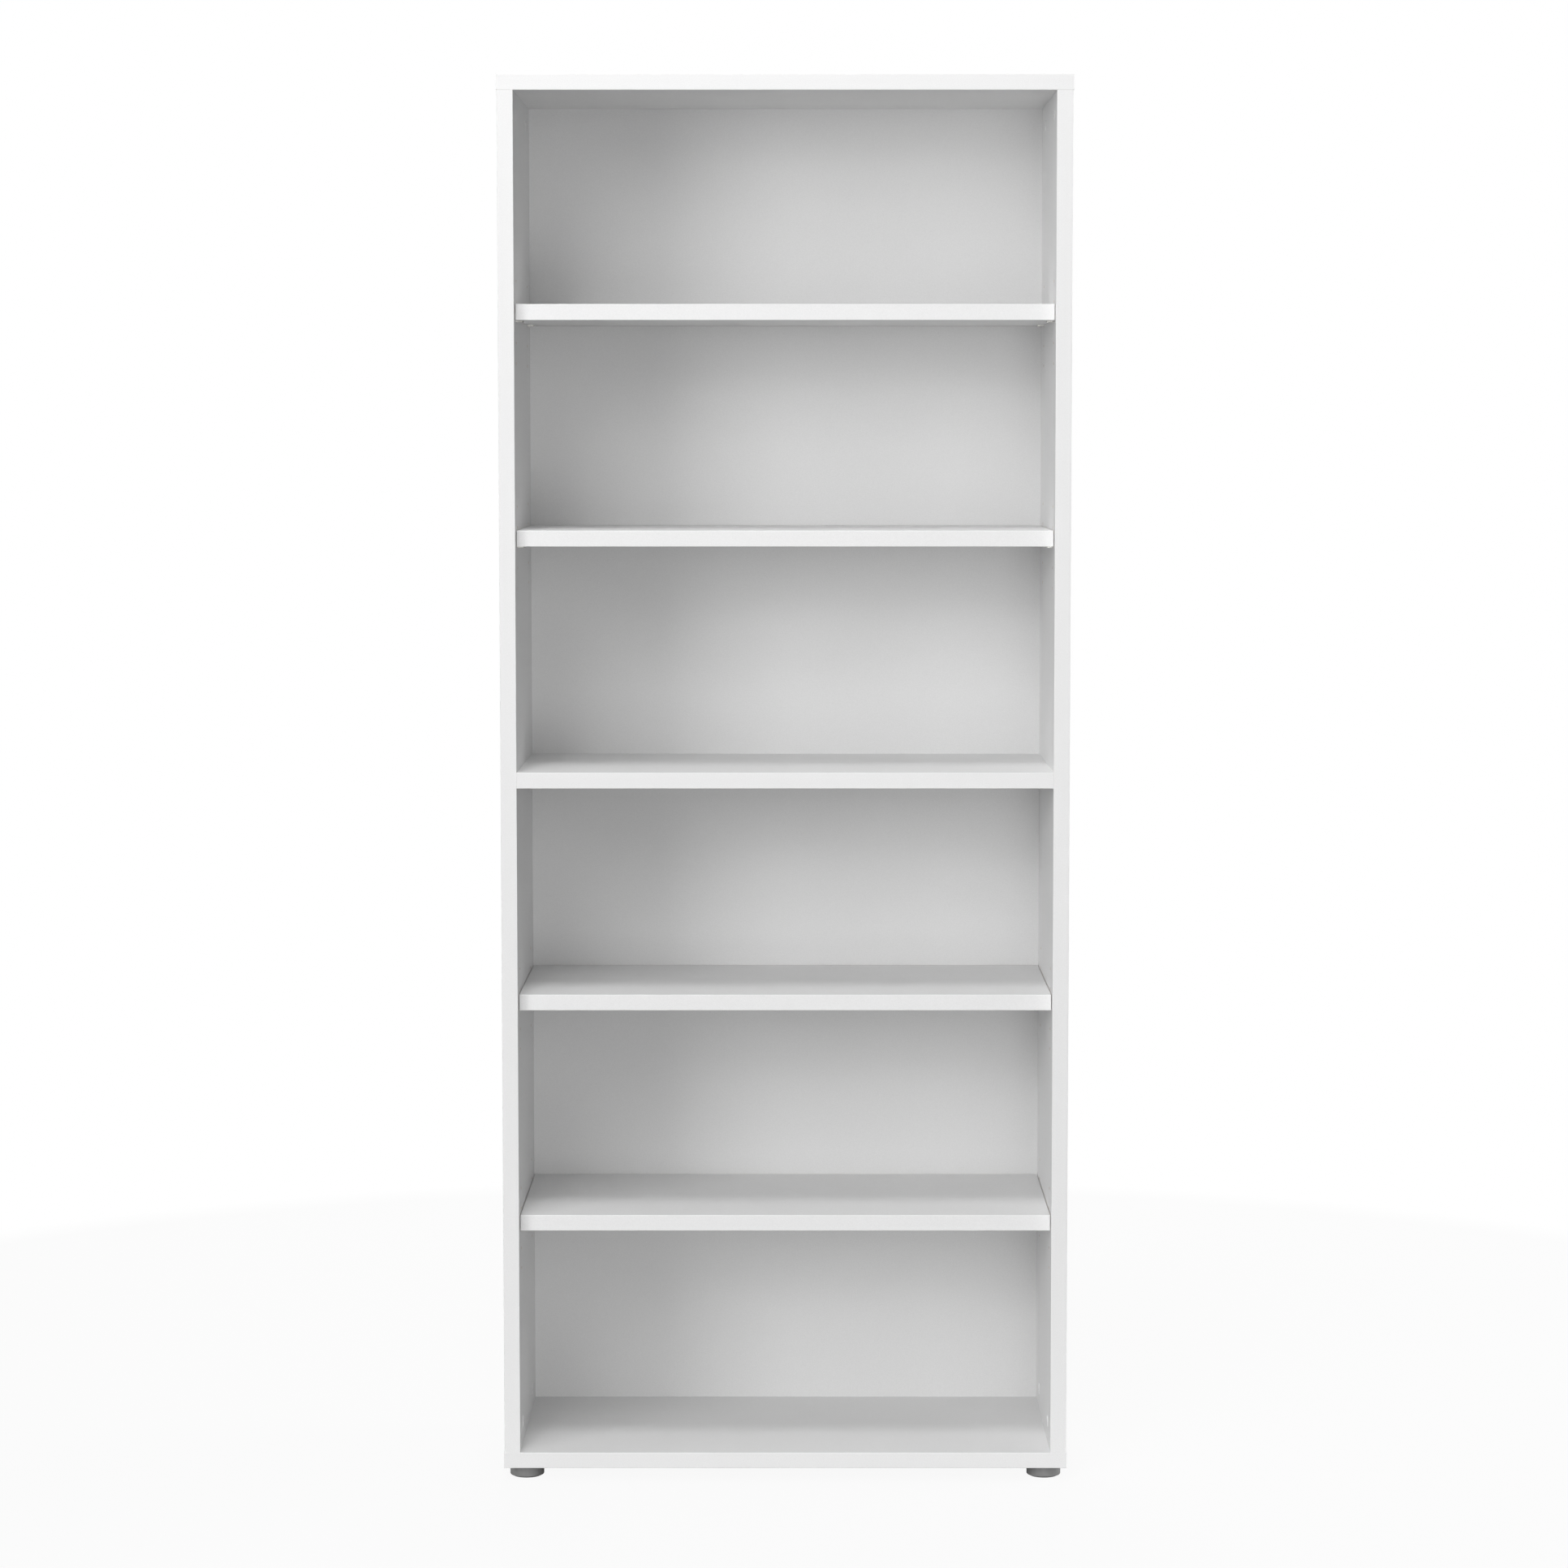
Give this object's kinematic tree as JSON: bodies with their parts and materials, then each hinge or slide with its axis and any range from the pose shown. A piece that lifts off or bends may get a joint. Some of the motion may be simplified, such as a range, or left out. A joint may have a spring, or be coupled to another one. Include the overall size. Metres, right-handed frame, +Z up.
{
  "type": "bookcase",
  "caption": "Tall open white bookcase with a fixed middle shelf, loose shelves that rest on pins at adjustable heights, a grooved-in back and round screw feet.",
  "frame": {"origin": "on the floor, under the middle of the case (bottom centre of the bounding box)", "axes": "+Z up, the open front faces -Y, +X is to the right of someone who faces the front"},
  "size_m": [0.893, 0.4, 2.212],
  "materials": {
    "melamine_board": "white melamine, fine satin texture",
    "edge_strip": "white satin plastic edging",
    "back_sheet": "white lacquered thin fibreboard",
    "foot_plastic": "grey moulded plastic",
    "glide_plastic": "dark soft plastic",
    "zinc_steel": "bright zinc plated",
    "pin_steel": "nickel plated steel",
    "cam_zinc": "die-cast zinc alloy, bare",
    "cap_plastic": "white moulded plastic",
    "beech": "plain beech"
  },
  "bodies": {
    "case": {"top_panel": "melamine_board", "bottom_panel": "melamine_board", "left_side_panel": "melamine_board", "right_side_panel": "melamine_board", "middle_shelf": "melamine_board", "upper_back_panel": "back_sheet", "lower_back_panel": "back_sheet", "top_panel_edging": "edge_strip", "bottom_panel_edging": "edge_strip", "left_side_edging": "edge_strip", "right_side_edging": "edge_strip", "middle_shelf_edging": "edge_strip", "cam_locks": "cam_zinc", "cover_caps": "cap_plastic", "cam_bolts": "zinc_steel", "dowels": "beech", "foot_inserts": "zinc_steel"},
    "shelf_1": {"adjustable_shelf_1": "melamine_board", "adjustable_shelf_1_edging": "edge_strip"},
    "shelf_2": {"adjustable_shelf_2": "melamine_board", "adjustable_shelf_2_edging": "edge_strip"},
    "shelf_3": {"adjustable_shelf_3": "melamine_board", "adjustable_shelf_3_edging": "edge_strip"},
    "shelf_4": {"adjustable_shelf_4": "melamine_board", "adjustable_shelf_4_edging": "edge_strip"},
    "shelf_1_pin_left_front": {"shelf_1_pin_left_front": "pin_steel"},
    "shelf_1_pin_left_rear": {"shelf_1_pin_left_rear": "pin_steel"},
    "shelf_1_pin_right_front": {"shelf_1_pin_right_front": "pin_steel"},
    "shelf_1_pin_right_rear": {"shelf_1_pin_right_rear": "pin_steel"},
    "shelf_2_pin_left_front": {"shelf_2_pin_left_front": "pin_steel"},
    "shelf_2_pin_left_rear": {"shelf_2_pin_left_rear": "pin_steel"},
    "shelf_2_pin_right_front": {"shelf_2_pin_right_front": "pin_steel"},
    "shelf_2_pin_right_rear": {"shelf_2_pin_right_rear": "pin_steel"},
    "shelf_3_pin_left_front": {"shelf_3_pin_left_front": "pin_steel"},
    "shelf_3_pin_left_rear": {"shelf_3_pin_left_rear": "pin_steel"},
    "shelf_3_pin_right_front": {"shelf_3_pin_right_front": "pin_steel"},
    "shelf_3_pin_right_rear": {"shelf_3_pin_right_rear": "pin_steel"},
    "shelf_4_pin_left_front": {"shelf_4_pin_left_front": "pin_steel"},
    "shelf_4_pin_left_rear": {"shelf_4_pin_left_rear": "pin_steel"},
    "shelf_4_pin_right_front": {"shelf_4_pin_right_front": "pin_steel"},
    "shelf_4_pin_right_rear": {"shelf_4_pin_right_rear": "pin_steel"},
    "foot_front_left_glide": {"foot_front_left_glide": "glide_plastic"},
    "foot_front_left_disc": {"foot_front_left_disc": "foot_plastic", "foot_front_left_stem": "zinc_steel"},
    "foot_front_right_glide": {"foot_front_right_glide": "glide_plastic"},
    "foot_front_right_disc": {"foot_front_right_disc": "foot_plastic", "foot_front_right_stem": "zinc_steel"},
    "foot_rear_left_glide": {"foot_rear_left_glide": "glide_plastic"},
    "foot_rear_left_disc": {"foot_rear_left_disc": "foot_plastic", "foot_rear_left_stem": "zinc_steel"},
    "foot_rear_right_glide": {"foot_rear_right_glide": "glide_plastic"},
    "foot_rear_right_disc": {"foot_rear_right_disc": "foot_plastic", "foot_rear_right_stem": "zinc_steel"}
  },
  "joints": [
    {"name": "shelf_1_lift", "type": "slide", "parent": "case", "child": "shelf_1", "axis": [0, 0, 1], "range_m": [0, 0.072]},
    {"name": "shelf_2_lift", "type": "slide", "parent": "case", "child": "shelf_2", "axis": [0, 0, 1], "range_m": [0, 0.072]},
    {"name": "shelf_3_lift", "type": "slide", "parent": "case", "child": "shelf_3", "axis": [0, 0, 1], "range_m": [0, 0.072]},
    {"name": "shelf_4_lift", "type": "slide", "parent": "case", "child": "shelf_4", "axis": [0, 0, 1], "range_m": [0, 0.072]},
    {"name": "shelf_1_pin_left_front_pull", "type": "slide", "parent": "case", "child": "shelf_1_pin_left_front", "axis": [1, 0, 0], "range_m": [0, 0.009]},
    {"name": "shelf_1_pin_left_rear_pull", "type": "slide", "parent": "case", "child": "shelf_1_pin_left_rear", "axis": [1, 0, 0], "range_m": [0, 0.009]},
    {"name": "shelf_1_pin_right_front_pull", "type": "slide", "parent": "case", "child": "shelf_1_pin_right_front", "axis": [-1, 0, 0], "range_m": [0, 0.009]},
    {"name": "shelf_1_pin_right_rear_pull", "type": "slide", "parent": "case", "child": "shelf_1_pin_right_rear", "axis": [-1, 0, 0], "range_m": [0, 0.009]},
    {"name": "shelf_2_pin_left_front_pull", "type": "slide", "parent": "case", "child": "shelf_2_pin_left_front", "axis": [1, 0, 0], "range_m": [0, 0.009]},
    {"name": "shelf_2_pin_left_rear_pull", "type": "slide", "parent": "case", "child": "shelf_2_pin_left_rear", "axis": [1, 0, 0], "range_m": [0, 0.009]},
    {"name": "shelf_2_pin_right_front_pull", "type": "slide", "parent": "case", "child": "shelf_2_pin_right_front", "axis": [-1, 0, 0], "range_m": [0, 0.009]},
    {"name": "shelf_2_pin_right_rear_pull", "type": "slide", "parent": "case", "child": "shelf_2_pin_right_rear", "axis": [-1, 0, 0], "range_m": [0, 0.009]},
    {"name": "shelf_3_pin_left_front_pull", "type": "slide", "parent": "case", "child": "shelf_3_pin_left_front", "axis": [1, 0, 0], "range_m": [0, 0.009]},
    {"name": "shelf_3_pin_left_rear_pull", "type": "slide", "parent": "case", "child": "shelf_3_pin_left_rear", "axis": [1, 0, 0], "range_m": [0, 0.009]},
    {"name": "shelf_3_pin_right_front_pull", "type": "slide", "parent": "case", "child": "shelf_3_pin_right_front", "axis": [-1, 0, 0], "range_m": [0, 0.009]},
    {"name": "shelf_3_pin_right_rear_pull", "type": "slide", "parent": "case", "child": "shelf_3_pin_right_rear", "axis": [-1, 0, 0], "range_m": [0, 0.009]},
    {"name": "shelf_4_pin_left_front_pull", "type": "slide", "parent": "case", "child": "shelf_4_pin_left_front", "axis": [1, 0, 0], "range_m": [0, 0.009]},
    {"name": "shelf_4_pin_left_rear_pull", "type": "slide", "parent": "case", "child": "shelf_4_pin_left_rear", "axis": [1, 0, 0], "range_m": [0, 0.009]},
    {"name": "shelf_4_pin_right_front_pull", "type": "slide", "parent": "case", "child": "shelf_4_pin_right_front", "axis": [-1, 0, 0], "range_m": [0, 0.009]},
    {"name": "shelf_4_pin_right_rear_pull", "type": "slide", "parent": "case", "child": "shelf_4_pin_right_rear", "axis": [-1, 0, 0], "range_m": [0, 0.009]},
    {"name": "foot_front_left_rise", "type": "slide", "parent": "case", "child": "foot_front_left_glide", "axis": [0, 0, -1], "range_m": [0, 0.01]},
    {"name": "foot_front_left_screw", "type": "hinge", "parent": "foot_front_left_glide", "child": "foot_front_left_disc", "pos_m": [-0.4125, -0.155, 0.021], "axis": [0, 0, -1], "range_deg": [0, 2880]},
    {"name": "foot_front_right_rise", "type": "slide", "parent": "case", "child": "foot_front_right_glide", "axis": [0, 0, -1], "range_m": [0, 0.01]},
    {"name": "foot_front_right_screw", "type": "hinge", "parent": "foot_front_right_glide", "child": "foot_front_right_disc", "pos_m": [0.4125, -0.155, 0.021], "axis": [0, 0, -1], "range_deg": [0, 2880]},
    {"name": "foot_rear_left_rise", "type": "slide", "parent": "case", "child": "foot_rear_left_glide", "axis": [0, 0, -1], "range_m": [0, 0.01]},
    {"name": "foot_rear_left_screw", "type": "hinge", "parent": "foot_rear_left_glide", "child": "foot_rear_left_disc", "pos_m": [-0.4125, 0.155, 0.021], "axis": [0, 0, -1], "range_deg": [0, 2880]},
    {"name": "foot_rear_right_rise", "type": "slide", "parent": "case", "child": "foot_rear_right_glide", "axis": [0, 0, -1], "range_m": [0, 0.01]},
    {"name": "foot_rear_right_screw", "type": "hinge", "parent": "foot_rear_right_glide", "child": "foot_rear_right_disc", "pos_m": [0.4125, 0.155, 0.021], "axis": [0, 0, -1], "range_deg": [0, 2880]}
  ],
  "couplings": [
    {"joint": "foot_front_left_rise", "follows": "foot_front_left_screw", "m_per_rad": 0.00019894},
    {"joint": "foot_front_right_rise", "follows": "foot_front_right_screw", "m_per_rad": 0.00019894},
    {"joint": "foot_rear_left_rise", "follows": "foot_rear_left_screw", "m_per_rad": 0.00019894},
    {"joint": "foot_rear_right_rise", "follows": "foot_rear_right_screw", "m_per_rad": 0.00019894}
  ]
}
